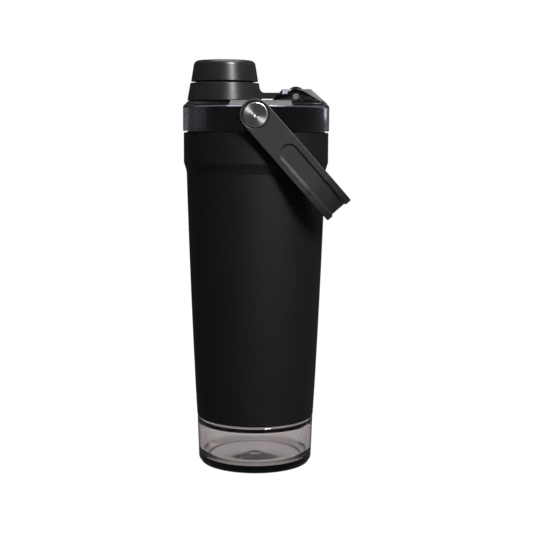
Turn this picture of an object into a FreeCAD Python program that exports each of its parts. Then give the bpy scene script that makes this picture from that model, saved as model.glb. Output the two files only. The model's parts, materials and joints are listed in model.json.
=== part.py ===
"""Protein shaker bottle: steel vacuum flask, screw-on storage cup, lid with capped spout and carry handle.

Frame: millimetres, +Z up, origin on the floor under the flask's axis, carry handle resting towards +X.
"""
import FreeCAD, Part
import math
import os
import Sketcher

SIZES = {
    # storage cup
    "cup_radius": 35.6, "cup_height": 28.2, "cup_wall": 2.6, "cup_floor": 2.6, "cup_foot_radius": 33.0,
    "cup_foot_height": 1.2, "cup_neck_radius": 31.6, "cup_neck_wall": 2.2, "cup_neck_top": 42.0,
    "cup_dome_rise": 2.2, "cup_foot_width": 2.2, "cup_base_height": 2.6,
    "cup_base_inset": 0.9, "cup_edge_radius": 1.0,
    # screw threads
    "thread_lead": 12.0, "thread_starts": 3, "thread_turns": 0.5, "thread_height": 1.2, "thread_width": 2.4,
    # flask
    "skin": 0.6, "flask_base": 28.5, "flask_base_radius": 35.8, "flask_waist_radius": 41.9,
    "flask_waist_height": 177.9, "flask_side_curve": 6000.0, "shoulder_radius": 43.6, "shoulder_height": 183.9,
    "flask_top": 201.8, "mouth_radius": 39.1, "liner_wall": 0.5, "liner_floor": 49.0,
    "liner_base_radius": 34.0, "liner_waist_radius": 39.0, "liner_knuckle": 5.0, "plate_height": 45.5,
    "plate_wall": 0.9, "getter_seat_rise": 0.4, "getter_radius": 5.5, "getter_height": 1.6,
    "plate_radius": 36.0, "base_curl": 2.0, "rim_radius": 0.5,
    # base ring inside the flask's skirt
    "ring_bore": 33.1, "ring_radius": 34.7, "ring_ceiling": 43.05, "ring_lead_in": 1.0, "seal_gap": 0.05,
    # lid
    "lid_radius": 44.0, "lid_base": 202.6, "lid_edge": 217.4, "lid_top": 220.4, "lid_top_radius": 41.0,
    "lid_wall": 2.6, "lid_roof": 2.4, "plug_radius": 37.0, "plug_wall": 2.4, "plug_bottom": 188.0,
    "core_radius": 40.0, "core_wall": 3.6, "core_top": 217.4, "core_roof": 213.0, "core_floor": 204.4,
    "core_flat": -22.0, "core_flat_wall": 2.2, "spout_boss_foot": 14.0, "spout_boss_top": 11.4,
    "spout_tube_wall": 1.2, "lid_edge_radius": 0.45, "tray_depth": 4.4, "tray_wall": 1.2,
    "core_well_depth": 1.6,
    # spout and its cap
    "spout_x": -19.0, "spout_radius": 12.9, "spout_bore": 9.0, "spout_mouth": 10.4, "spout_top": 238.4,
    "cap_base": 232.1, "cap_top": 244.8, "cap_base_radius": 20.15, "cap_top_radius": 18.15,
    "insert_radius": 17.1, "insert_bore": 15.6, "insert_bottom": 222.6, "collar_bore": 18.0, "collar_lip": 17.5,
    "collar_base": 220.7, "collar_top": 231.2, "collar_base_radius": 22.45, "collar_top_radius": 20.6,
    "cap_crown": 3.2, "cap_rim": 0.35,
    # tether hinge
    "hinge_x": 23.7, "hinge_height": 223.4, "pin_radius": 1.75, "pin_fit": 0.05, "knuckle_radius": 5.8,
    "tether_width": 12.0, "ear_width": 19.0, "slot_width": 13.0, "ear_top": 227.6,
    "knuckle_clearance": 0.7, "arm_below": 1.3, "arm_above": 2.1,
    # carry handle
    "pivot_height": 212.0, "handle_drop": 48.3, "arm_end_radius": 8.9, "loop_half_width": 9.05,
    "loop_reach": 74.2, "loop_half_span": 48.6, "loop_thickness": 3.7, "loop_corner": 26.0,
    "crossbar_thickness": 2.6, "loop_inner_corner": 23.4, "loop_inner_chamfer": 1.5,
    "recess_depth": 1.0, "recess_half_width": 5.0, "recess_start": 28.8, "seat_depth": 1.5,
    "screw_head_radius": 7.25, "counterbore_radius": 7.8, "shoulder_pin_radius": 4.0, "shoulder_fit": 0.05,
    "screw_shank_radius": 2.0, "boss_face": 44.1, "boss_radius": 7.9, "screw_end": 33.0,
    "brass_radius": 3.6, "brass_inner_end": 32.5, "brass_length": 7.0, "brass_boss_wall": 1.8,
    "screw_head_height": 1.6, "dimple_depth": 0.8, "dimple_radius": 1.3, "dimple_tip_radius": 0.3,
    # wire mixing ball
    "ball_radius": 15.0, "wire_radius": 0.8, "hoop_step": 1.2, "ball_x": -8.0, "ball_y": 6.0,
}
NUDGE = 0.2          # sketches run this far past a face that they cut through
HOOP_SEAM_TURN = 7.0  # degrees each hoop is turned about its own axis
PLUG_RIB_START = 3.0  # height of a thread's run-in above the lower end of its neck

doc = FreeCAD.newDocument("shaker_bottle")
sheet = doc.addObject("Spreadsheet::Sheet", "Sizes")
for row, (alias, number) in enumerate(SIZES.items(), start=1):
    sheet.set(f"A{row}", alias)
    sheet.set(f"B{row}", str(number))
    sheet.setAlias(f"B{row}", alias)
doc.recompute()


class Size:
    """A length that keeps its number together with the spreadsheet expression that gives it."""

    def __init__(self, value, text):
        self.value = value
        self.text = text

    def combine(self, other, sign, value):
        text = other.text if isinstance(other, Size) else str(other)
        return Size(value, f"({self.text} {sign} {text})")

    def __add__(self, other):
        return self.combine(other, "+", self.value + number_of(other))

    def __sub__(self, other):
        return self.combine(other, "-", self.value - number_of(other))

    def __mul__(self, other):
        return self.combine(other, "*", self.value * number_of(other))

    def __truediv__(self, other):
        return self.combine(other, "/", self.value / number_of(other))

    def __neg__(self):
        return Size(-self.value, f"(0 - {self.text})")


def number_of(length):
    return length.value if isinstance(length, Size) else float(length)


def size(alias):
    """The spreadsheet cell with this alias, as a Size."""
    return Size(float(sheet.get(alias)), f"<<Sizes>>.{alias}")


def bind(feature, prop, length):
    """Ties a feature's property to a Size, or sets a plain number."""
    if isinstance(length, Size):
        feature.setExpression(prop, length.text)
    else:
        setattr(feature, prop, length)


def new_body(name):
    body = doc.addObject("PartDesign::Body", name)
    body.Label = name
    return body


def origin_plane(body, role):
    return next(item for item in body.Origin.OriginFeatures if item.Role == role)


def new_sketch(body, name, role="XZ_Plane", offset=None):
    """A sketch on one of the body's origin planes, moved along the plane's normal by offset."""
    sketch = body.newObject("Sketcher::SketchObject", name)
    sketch.AttachmentSupport = (origin_plane(body, role), [""])
    sketch.MapMode = "FlatFace"
    if offset is not None:
        sketch.AttachmentOffset = FreeCAD.Placement(FreeCAD.Vector(0, 0, number_of(offset)), FreeCAD.Rotation())
        if isinstance(offset, Size):
            sketch.setExpression("AttachmentOffset.Base.z", offset.text)
    return sketch


def pin_point(sketch, geometry, end, point):
    """Holds one end of a sketch line or arc, or a circle's centre (end 3), at a point given by two Sizes."""
    for kind, length in zip(("DistanceX", "DistanceY"), point):
        index = sketch.addConstraint(Sketcher.Constraint(kind, -1, 1, geometry, end, number_of(length)))
        if isinstance(length, Size):
            sketch.setExpression(f"Constraints[{index}]", length.text)


def outline(sketch, corners):
    """A closed outline. A corner is (x, y), or (x, y, radius) when the run that reaches it is an arc
    that turns left (positive radius) or right (negative)."""
    for start, end in zip(corners, corners[1:] + corners[:1]):
        a = FreeCAD.Vector(number_of(start[0]), number_of(start[1]), 0)
        b = FreeCAD.Vector(number_of(end[0]), number_of(end[1]), 0)
        if len(end) == 2:
            line = sketch.addGeometry(Part.LineSegment(a, b), False)
            pin_point(sketch, line, 1, start)
            pin_point(sketch, line, 2, end)
            continue
        radius = number_of(end[2])
        chord = b - a
        middle = (a + b) * 0.5
        left = FreeCAD.Vector(-chord.y, chord.x, 0).normalize()
        reach = math.sqrt(max(radius * radius - chord.Length ** 2 / 4, 0))
        centre = middle + left * math.copysign(reach, radius)
        far = centre + (middle - centre).normalize() * abs(radius) if reach > 1e-9 else middle - left * radius
        arc = sketch.addGeometry(Part.Arc(a, far, b), False)
        first, last = (start, end) if radius > 0 else (end, start)
        pin_point(sketch, arc, 1, first)
        pin_point(sketch, arc, 2, last)


def circle(sketch, centre, radius):
    middle = FreeCAD.Vector(number_of(centre[0]), number_of(centre[1]), 0)
    index = sketch.addGeometry(Part.Circle(middle, FreeCAD.Vector(0, 0, 1), number_of(radius)), False)
    pin_point(sketch, index, 3, centre)
    bound = sketch.addConstraint(Sketcher.Constraint("Radius", index, number_of(radius)))
    if isinstance(radius, Size):
        sketch.setExpression(f"Constraints[{bound}]", radius.text)


def revolve(body, name, corners, remove=False):
    """Turns an outline in the XZ plane about the body's Z axis."""
    sketch = new_sketch(body, f"{name}_outline")
    outline(sketch, corners)
    feature = body.newObject("PartDesign::Groove" if remove else "PartDesign::Revolution", name)
    feature.Profile = sketch
    feature.ReferenceAxis = (sketch, ["V_Axis"])
    feature.Angle = 360
    return finish_feature(body, feature, remove)


def extrude(body, name, sketch, length, remove=False, midplane=False, reversed_side=False):
    feature = body.newObject("PartDesign::Pocket" if remove else "PartDesign::Pad", name)
    feature.Profile = sketch
    bind(feature, "Length", length)
    if midplane:
        feature.Midplane = True
    feature.Reversed = reversed_side
    return finish_feature(body, feature, remove)


def finish_feature(body, feature, remove):
    """Recomputes, and proves that the feature changed the body in the direction it should."""
    doc.recompute()
    base = feature.BaseFeature
    before = base.Shape.Volume if base else 0.0
    change = feature.Shape.Volume - before
    if (change >= 0) == remove or abs(change) < 1e-6:
        raise RuntimeError(f"{body.Label}: {feature.Name} changed the volume by {change:.3f} mm3")
    return feature


def ring_edges(feature, rings):
    """Names of the feature's round edges about its Z axis, each given as (radius, height)."""
    names = []
    for index, edge in enumerate(feature.Shape.Edges, start=1):
        curve = edge.Curve
        if not hasattr(curve, "Radius"):
            continue
        for radius, height in rings:
            if abs(curve.Radius - number_of(radius)) < 0.01 and abs(curve.Center.z - number_of(height)) < 0.01:
                names.append(f"Edge{index}")
    return names


def round_edges(body, name, base, edges, radius):
    if not edges:
        raise RuntimeError(f"{body.Label}: {name} found no edges")
    fillet = body.newObject("PartDesign::Fillet", name)
    fillet.Base = (base, edges)
    bind(fillet, "Radius", radius)
    doc.recompute()
    return fillet


def screw_ribs(body, root_radius, bottom, lead, starts, turns):
    """Equally spaced helical ribs round a neck, standing out by the thread height."""
    low = bottom + PLUG_RIB_START
    inside = root_radius - NUDGE
    outside = root_radius + size("thread_height")
    flank = size("thread_width") / 4
    sketch = new_sketch(body, "rib_outline")
    outline(sketch, [(inside, low), (outside, low + flank), (outside, low + size("thread_width") - flank),
                     (inside, low + size("thread_width"))])
    rib = body.newObject("PartDesign::AdditiveHelix", "rib")
    rib.Profile = sketch
    rib.ReferenceAxis = (sketch, ["V_Axis"])
    rib.Mode = "pitch-turns-angle"
    bind(rib, "Pitch", lead)
    bind(rib, "Turns", turns)
    doc.recompute()
    pattern = body.newObject("PartDesign::PolarPattern", "ribs")
    pattern.Originals = [rib]
    pattern.Axis = (sketch, ["V_Axis"])
    pattern.Angle = 360
    bind(pattern, "Occurrences", starts)
    body.Tip = pattern
    doc.recompute()


def place(body, x=0, y=0, z=0, turn_about_y=None):
    """Moves a body that was drawn round its own axis to its place on the bottle."""
    rotation = FreeCAD.Rotation(FreeCAD.Vector(0, 1, 0), number_of(turn_about_y or 0))
    body.Placement = FreeCAD.Placement(FreeCAD.Vector(number_of(x), number_of(y), number_of(z)), rotation)
    for axis, length in (("x", x), ("y", y), ("z", z)):
        if isinstance(length, Size):
            body.setExpression(f"Placement.Base.{axis}", length.text)
    if turn_about_y is not None:
        body.setExpression("Placement.Rotation.Angle", turn_about_y.text)


def make_storage_cup():
    """Clear cup with a foot ring, a domed floor and a threaded neck that goes up inside the flask's skirt."""
    body = new_body("storage_cup")
    outside, foot = size("cup_radius"), size("cup_foot_radius")
    inside = outside - size("cup_wall")
    neck, top = size("cup_neck_radius"), size("cup_neck_top")
    bore = neck - size("cup_neck_wall")
    floor, shoulder = size("cup_floor"), size("cup_height")
    rise, foot_height = size("cup_dome_rise"), size("cup_foot_height")
    foot_inside = foot - size("cup_foot_width")
    base_height, inset = size("cup_base_height"), size("cup_base_inset")
    cup = revolve(body, "wall", [
        (0, foot_height), (foot_inside - 1.0, foot_height - 0.4), (foot_inside, 0), (foot, 0),
        (outside - inset, base_height), (outside, shoulder - 4), (outside, shoulder),
        (neck, shoulder + 0.1), (neck, top), (bore, top), (bore, shoulder - 0.6), (inside, shoulder - 3.6),
        (inside - 0.8, floor + 4.4), (inside - 4.4, floor + 0.8), (0, floor + rise)])
    edges = ring_edges(cup, [(outside, shoulder), (outside - inset, base_height)])
    round_edges(body, "soft_edges", cup, edges, size("cup_edge_radius"))
    turns = size("thread_turns") * 0.6
    screw_ribs(body, neck, shoulder + 1.5, size("thread_lead"), size("thread_starts"), turns)
    return body


def make_storage_seal():
    """Silicone ring between the cup's lip and the base ring's ceiling."""
    body = new_body("storage_seal")
    neck, gap = size("cup_neck_radius"), size("seal_gap")
    revolve(body, "ring", [
        (neck - 2.4, size("cup_neck_top") + gap), (neck - 0.1, size("cup_neck_top") + gap),
        (neck - 0.1, size("ring_ceiling") - gap), (neck - 2.4, size("ring_ceiling") - gap)])
    return body


def make_base_ring():
    """Black cap-shaped adapter fixed in the flask's skirt; the cup's neck screws up into it."""
    body = new_body("base_ring")
    low, ceiling = size("flask_base") + size("skin") + 0.1, size("ring_ceiling")
    top, bore, radius = size("plate_height") - 0.1, size("ring_bore"), size("ring_radius")
    ring = revolve(body, "wall", [
        (bore, low), (radius, low), (radius, top), (0, top), (0, ceiling), (bore, ceiling)])
    round_edges(body, "lead_in", ring, ring_edges(ring, [(radius, low)]), size("ring_lead_in"))
    return body


def make_outer_shell():
    """Powder-coated outer wall: curled lip at the base, gently bowed side, stepped shoulder, turned-in top."""
    body = new_body("outer_shell")
    skin, base, top = size("skin"), size("flask_base"), size("flask_top")
    low, waist, shoulder = size("flask_base_radius"), size("flask_waist_radius"), size("shoulder_radius")
    waist_height, shoulder_height = size("flask_waist_height"), size("shoulder_height")
    lip, bow = size("ring_bore") + 0.3, size("flask_side_curve")
    shell = revolve(body, "wall", [
        (lip, base), (low, base), (waist, waist_height, bow), (waist + 0.5, waist_height + 2.2),
        (shoulder, shoulder_height), (shoulder, top), (size("mouth_radius") + size("liner_wall"), top),
        (size("mouth_radius") + size("liner_wall"), top - skin), (shoulder - skin, top - skin),
        (shoulder - skin, shoulder_height + 0.3), (waist + 0.5 - skin, waist_height + 2.5),
        (waist - skin, waist_height), (low - skin, base + skin, -bow), (lip, base + skin)])
    curl = size("base_curl")
    corner = round_edges(body, "base_curl", shell, ring_edges(shell, [(low, base)]), curl)
    inside = ring_edges(corner, [(low - skin, base + skin)])
    corner = round_edges(body, "base_curl_inside", corner, inside, curl - skin)
    rim = ring_edges(corner, [(shoulder, top), (shoulder, shoulder_height)])
    round_edges(body, "rim_edge", corner, rim, size("rim_radius"))
    return body


def make_inner_flask():
    """Bare steel liner that holds the drink, straight at the neck where the lid screws in."""
    body = new_body("inner_flask")
    wall, floor, top = size("liner_wall"), size("liner_floor"), size("flask_top")
    low, waist, neck = size("liner_base_radius"), size("liner_waist_radius"), size("mouth_radius") + wall
    waist_height = size("flask_waist_height") - 2.5
    liner = revolve(body, "wall", [
        (0, floor), (low, floor), (waist, waist_height), (neck, waist_height + 6), (neck, top),
        (neck - wall, top), (neck - wall, waist_height + 6), (waist - wall, waist_height),
        (low - wall, floor + wall), (0, floor + wall)])
    bend = size("liner_knuckle")
    knuckle = round_edges(body, "outer_knuckle", liner, ring_edges(liner, [(low, floor)]), bend + wall)
    inner = ring_edges(knuckle, [(low - wall, floor + wall)])
    round_edges(body, "inner_knuckle", knuckle, inner, bend)
    return body


def make_outer_bottom():
    """Steel plate that closes the vacuum jacket, with a raised seat for the getter."""
    body = new_body("outer_bottom")
    low, radius = size("plate_height"), size("plate_radius")
    top, seat = low + size("plate_wall"), size("getter_radius") + 3
    rise = size("getter_seat_rise")
    revolve(body, "plate", [(0, low), (radius, low), (radius, top), (seat + 0.6, top), (seat, top + rise),
                            (0, top + rise)])
    return body


def make_getter():
    """Getter pellet in the vacuum between the plate and the liner."""
    body = new_body("getter")
    low = size("plate_height") + size("plate_wall") + size("getter_seat_rise")
    radius, top = size("getter_radius"), low + size("getter_height")
    revolve(body, "pellet", [(0, low), (radius, low), (radius, top), (0, top)])
    return body


def make_whisk_ball():
    """Wire mixing ball: three upright hoops, each a step inside the last, welded to a level one.

    Each hoop is turned a little about its own axis, so that its seam lies clear of the welds.
    """
    hoops = []
    radius, wire, step = size("ball_radius"), size("wire_radius"), size("hoop_step")
    turns = [(radius - step, FreeCAD.Rotation())]
    for index in range(3):
        angle = math.radians(60 * index)
        upright = FreeCAD.Rotation(FreeCAD.Vector(math.cos(angle), math.sin(angle), 0), 90)
        turns.append((radius - step * index, upright))
    for index, (major, rotation) in enumerate(turns):
        hoop = doc.addObject("Part::Torus", f"hoop_{index}")
        hoop.setExpression("Radius1", major.text)
        hoop.setExpression("Radius2", wire.text)
        seam = FreeCAD.Rotation(FreeCAD.Vector(0, 0, 1), HOOP_SEAM_TURN)
        hoop.Placement = FreeCAD.Placement(FreeCAD.Vector(0, 0, 0), rotation.multiply(seam))
        hoops.append(hoop)
    ball = doc.addObject("Part::MultiFuse", "whisk_ball")
    ball.Label = "whisk_ball"
    ball.Shapes = hoops
    place(ball, x=size("ball_x"), y=size("ball_y"),
          z=size("liner_floor") + size("liner_wall") + radius + wire + 0.3)
    return ball


def make_lid_gasket():
    """Silicone ring under the lid's flange, resting on the flask's rim."""
    body = new_body("lid_gasket")
    low, high = size("flask_top") + size("seal_gap"), size("lid_base") - 0.25
    revolve(body, "ring", [(size("plug_radius") + 0.4, low), (41.7, low), (41.7, high - 0.3),
                           (41.4, high), (size("plug_radius") + 0.4, high)])
    return body


def make_lid_shell():
    """Smoke-tinted cover of the lid, with two ears and a sloping hood for the tether's hinge."""
    body = new_body("lid_shell")
    radius, top, edge, base = size("lid_radius"), size("lid_top"), size("lid_edge"), size("lid_base")
    wall, roof, hinge_x, hinge_z = size("lid_wall"), size("lid_roof"), size("hinge_x"), size("hinge_height")
    cover = revolve(body, "cover", [
        (radius, base), (radius, edge), (size("lid_top_radius"), top), (0, top), (0, top - roof),
        (size("lid_top_radius") - 1.3, top - roof), (radius - wall, edge - 0.8), (radius - wall, base)])
    round_edges(body, "cover_edges", cover,
                ring_edges(cover, [(radius, edge), (size("lid_top_radius"), top), (radius, base)]),
                size("lid_edge_radius"))

    ears = new_sketch(body, "ears_outline")
    outline(ears, [
        (hinge_x - 15.6, top - 1.0), (hinge_x - 8.0, size("ear_top")), (hinge_x + 8.8, size("ear_top")),
        (hinge_x + 18.6, top - 1.4), (hinge_x + 17.0, top - 2.0), (hinge_x + 14.0, top - 1.0)])
    extrude(body, "ears", ears, size("ear_width"), midplane=True)

    tray = new_sketch(body, "tray_outline")
    tray_floor = top - size("tray_depth")
    outline(tray, [(hinge_x - 8.6, tray_floor), (hinge_x + 9.0, tray_floor), (hinge_x + 9.0, top - 1.0),
                   (hinge_x - 8.6, top - 1.0)])
    extrude(body, "tray", tray, size("slot_width") + size("tray_wall") * 2, midplane=True)

    slot = new_sketch(body, "slot_outline")
    well = size("knuckle_radius") + size("knuckle_clearance")
    outline(slot, [
        (hinge_x - 16.0, top), (hinge_x - well, top), (hinge_x - well, hinge_z - well + 0.3),
        (hinge_x + well, hinge_z - well + 0.3), (hinge_x + well, top - 0.6), (hinge_x + 14.6, top - 0.6),
        (hinge_x + well + 0.2, top + 6.2), (hinge_x + well + 0.2, top + 9.9), (hinge_x - 16.0, top + 9.9)])
    extrude(body, "slot", slot, size("slot_width"), remove=True, midplane=True)

    bore = new_sketch(body, "pin_bore_outline")
    circle(bore, (hinge_x, hinge_z), size("pin_radius"))
    extrude(body, "pin_bore", bore, size("ear_width") + 2, remove=True, midplane=True)

    hole = new_sketch(body, "spout_hole_outline", "XY_Plane", top - 6)
    circle(hole, (size("spout_x"), Size(0, "0")), size("spout_radius") + 0.15)
    extrude(body, "spout_hole", hole, 12, remove=True, reversed_side=True)

    for side, name in ((1, "back"), (-1, "front")):
        boss = new_sketch(body, f"{name}_boss_outline", "XZ_Plane", size("boss_face") * -side)
        circle(boss, (Size(0, "0"), size("pivot_height")), size("boss_radius"))
        extrude(body, f"{name}_boss", boss, 2.4, reversed_side=side < 0)
        screw_hole = new_sketch(body, f"{name}_screw_outline", "XZ_Plane", size("boss_face") * -side)
        circle(screw_hole, (Size(0, "0"), size("pivot_height")), size("screw_shank_radius") + 0.2)
        extrude(body, f"{name}_screw_hole", screw_hole, 8, remove=True, reversed_side=side > 0)
    return body


def d_sketch(body, name, radius, flat, height):
    """A circle about the body's axis cut off straight where X equals flat."""
    reach = math.sqrt(radius.value ** 2 - flat.value ** 2)
    sketch = new_sketch(body, name, "XY_Plane", height)
    start, end = math.atan2(-reach, flat.value), math.atan2(reach, flat.value)
    rim = Part.Circle(FreeCAD.Vector(0, 0, 0), FreeCAD.Vector(0, 0, 1), radius.value)
    arc = sketch.addGeometry(Part.ArcOfCircle(rim, start, end), False)
    ends = [FreeCAD.Vector(flat.value, side * reach, 0) for side in (1, -1)]
    chord = sketch.addGeometry(Part.LineSegment(*ends), False)
    sketch.addConstraint(Sketcher.Constraint("Coincident", arc, 3, -1, 1))
    sketch.addConstraint(Sketcher.Constraint("Coincident", arc, 2, chord, 1))
    sketch.addConstraint(Sketcher.Constraint("Coincident", arc, 1, chord, 2))
    sketch.addConstraint(Sketcher.Constraint("Vertical", chord))
    round_size = sketch.addConstraint(Sketcher.Constraint("Radius", arc, radius.value))
    sketch.setExpression(f"Constraints[{round_size}]", radius.text)
    cut = sketch.addConstraint(Sketcher.Constraint("DistanceX", -1, 1, chord, 1, flat.value))
    sketch.setExpression(f"Constraints[{cut}]", flat.text)
    return sketch


def make_lid_core():
    """Black inner lid: threaded plug, flange, and a hollow tower cut off flat on the spout's side."""
    body = new_body("lid_core")
    plug, flange = size("plug_radius"), size("lid_radius") - size("lid_wall") - 0.2
    seat, floor = size("lid_base") - 0.2, size("core_floor")
    revolve(body, "plug", [
        (plug - size("plug_wall"), size("plug_bottom")), (plug, size("plug_bottom")), (plug, seat),
        (flange, seat), (flange, floor), (0, floor), (0, seat), (plug - size("plug_wall"), seat)])

    tower, flat, top = size("core_radius"), size("core_flat"), size("core_top")
    extrude(body, "tower", d_sketch(body, "tower_outline", tower, flat, floor), top - floor)
    hollow = d_sketch(body, "hollow_outline", tower - size("core_wall"), flat + size("core_flat_wall"), seat)
    extrude(body, "hollow", hollow, size("core_roof") - seat, remove=True, reversed_side=True)

    bore = size("spout_bore")
    tube = bore + size("spout_tube_wall")
    for name, low_radius, high_radius, low, high, remove in (
            ("spout_boss", size("spout_boss_foot"), size("spout_boss_top"), seat, top + 0.5, False),
            ("spout_seat", tube, tube, floor + 1.6, top + 1, True),
            ("spout_passage", bore, bore, seat - 1, floor + 2, True)):
        cone = body.newObject("PartDesign::SubtractiveCone" if remove else "PartDesign::AdditiveCone", name)
        for prop, length in (("Radius1", low_radius), ("Radius2", high_radius), ("Height", high - low)):
            bind(cone, prop, length)
        cone.AttachmentSupport = (origin_plane(body, "XY_Plane"), [""])
        cone.MapMode = "FlatFace"
        for axis, length in (("x", size("spout_x")), ("z", low)):
            cone.setExpression(f"AttachmentOffset.Base.{axis}", length.text)
        finish_feature(body, cone, remove)

    hinge_x, well_floor = size("hinge_x"), top - size("core_well_depth")
    well = new_sketch(body, "hinge_well_outline")
    outline(well, [(hinge_x - 9.2, well_floor), (hinge_x + 9.6, well_floor), (hinge_x + 9.6, top + 1),
                   (hinge_x - 9.2, top + 1)])
    well_width = size("slot_width") + size("tray_wall") * 2 + 1
    extrude(body, "hinge_well", well, well_width, remove=True, midplane=True)

    for side, name in ((1, "back"), (-1, "front")):
        boss = new_sketch(body, f"{name}_boss_outline", "XZ_Plane", size("brass_inner_end") * -side)
        circle(boss, (Size(0, "0"), size("pivot_height")), size("brass_radius") + size("brass_boss_wall"))
        extrude(body, f"{name}_boss", boss, size("brass_length"), reversed_side=side > 0)
        socket = new_sketch(body, f"{name}_socket_outline", "XZ_Plane", size("brass_inner_end") * -side)
        circle(socket, (Size(0, "0"), size("pivot_height")), size("brass_radius"))
        extrude(body, f"{name}_socket", socket, 10, remove=True, reversed_side=side < 0)
    lead, starts, turns = size("thread_lead"), size("thread_starts"), size("thread_turns")
    screw_ribs(body, plug, size("plug_bottom"), lead, starts, turns)
    return body


def make_spout():
    """Drinking spout with a two-start thread under its rolled lip."""
    body = new_body("spout")
    bore, mouth, radius, top = size("spout_bore"), size("spout_mouth"), size("spout_radius"), size("spout_top")
    low, step = size("core_floor") + 1.6, size("lid_top") - size("lid_roof") + 0.1
    tube_radius = bore + size("spout_tube_wall")
    tube = revolve(body, "tube", [
        (bore, low), (tube_radius, low), (tube_radius, step), (radius, step), (radius, top), (mouth, top),
        (mouth, step + 2.5), (bore, step)])
    round_edges(body, "lip", tube, ring_edges(tube, [(radius, top), (mouth, top)]), 0.6)
    screw_ribs(body, radius, size("lid_top") + 4, size("thread_lead") / 2, 2, 0.6)
    place(body, x=size("spout_x"))
    return body


def make_hinge_pin():
    """Pin of the tether's hinge, held in both ears."""
    pin = doc.addObject("Part::Cylinder", "hinge_pin")
    pin.Label = "hinge_pin"
    pin.setExpression("Radius", size("pin_radius").text)
    length = size("ear_width") - 0.2
    pin.setExpression("Height", length.text)
    pin.Placement = FreeCAD.Placement(
        FreeCAD.Vector(size("hinge_x").value, length.value / 2, size("hinge_height").value),
        FreeCAD.Rotation(FreeCAD.Vector(1, 0, 0), 90))
    pin.setExpression("Placement.Base.x", size("hinge_x").text)
    pin.setExpression("Placement.Base.y", (length / 2).text)
    pin.setExpression("Placement.Base.z", size("hinge_height").text)
    return pin


def make_cap_tether():
    """Collar round the cap's skirt, a flat arm, and the knuckle that turns on the hinge pin."""
    body = new_body("cap_tether")
    low, top, bore, lip = size("collar_base"), size("collar_top"), size("collar_bore"), size("collar_lip")
    collar = revolve(body, "collar", [
        (bore, low), (size("collar_base_radius"), low), (size("collar_top_radius"), top), (lip, top),
        (lip, top - 0.8), (bore, top - 0.8)])
    round_edges(body, "collar_edges", collar, ring_edges(
        collar, [(size("collar_base_radius"), low), (size("collar_top_radius"), top)]), 0.35)
    reach, height = size("hinge_x") - size("spout_x"), size("hinge_height")
    under, over, outside = height - size("arm_below"), height + size("arm_above"), size("collar_base_radius")
    arm = new_sketch(body, "arm_outline")
    outline(arm, [(bore + 1.6, under), (reach, under), (reach, over), (outside + 1.2, over),
                  (outside - 0.8, over + 1.5), (bore + 1.6, over + 1.5)])
    extrude(body, "arm", arm, size("tether_width"), midplane=True)
    knuckle = new_sketch(body, "knuckle_outline")
    circle(knuckle, (reach, height), size("knuckle_radius"))
    extrude(body, "knuckle", knuckle, size("tether_width"), midplane=True)
    pin_bore = new_sketch(body, "pin_bore_outline")
    circle(pin_bore, (reach, height), size("pin_radius") + size("pin_fit"))
    extrude(body, "pin_bore", pin_bore, size("tether_width") + 2, remove=True, midplane=True)
    place(body, x=size("spout_x"))
    return body


def make_spout_cap():
    """Outer cap with a slight taper and a softly rounded top."""
    body = new_body("spout_cap")
    base, top = size("cap_base"), size("cap_top")
    bore, roof = size("insert_radius") + 0.05, size("spout_top") + 4.05
    cap = revolve(body, "cap", [
        (bore, base), (size("cap_base_radius"), base), (size("cap_top_radius"), top - 0.4), (12, top), (0, top),
        (0, roof), (bore, roof)])
    crown_edges = ring_edges(cap, [(size("cap_top_radius"), top - 0.4)])
    crown = round_edges(body, "crown", cap, crown_edges, size("cap_crown"))
    rim = ring_edges(crown, [(size("cap_base_radius"), base)])
    round_edges(body, "rim", crown, rim, size("cap_rim"))
    place(body, x=size("spout_x"))
    return body


def make_cap_insert():
    """Plug inside the cap; its skirt runs through the collar and a bead keeps it there."""
    body = new_body("cap_insert")
    radius, bore, low = size("insert_radius"), size("insert_bore"), size("insert_bottom")
    ceiling, bead = size("spout_top") + 2.05, radius + 0.6
    revolve(body, "skirt", [
        (bore, low), (radius + 0.3, low), (bead, low + 0.4), (bead, low + 0.8), (radius, low + 1.2),
        (radius, ceiling + 1.9), (0, ceiling + 1.9), (0, ceiling), (bore, ceiling)])
    place(body, x=size("spout_x"))
    return body


def make_cap_seal():
    """Silicone disc that presses on the spout's lip."""
    body = new_body("cap_seal")
    low = size("spout_top") + size("seal_gap")
    revolve(body, "disc", [(0, low), (size("insert_bore") - 0.4, low), (size("insert_bore") - 0.4, low + 1.9),
                           (0, low + 1.9)])
    place(body, x=size("spout_x"))
    return body


def loop_outline(reach, half_span, corner, start):
    """Outer or inner line of the handle's U, from the start of one arm round to the other, as an open run."""
    return [(start, -half_span), (reach - corner, -half_span), (reach, -half_span + corner, corner),
            (reach, half_span - corner), (reach - corner, half_span, corner), (start, half_span)]


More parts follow.
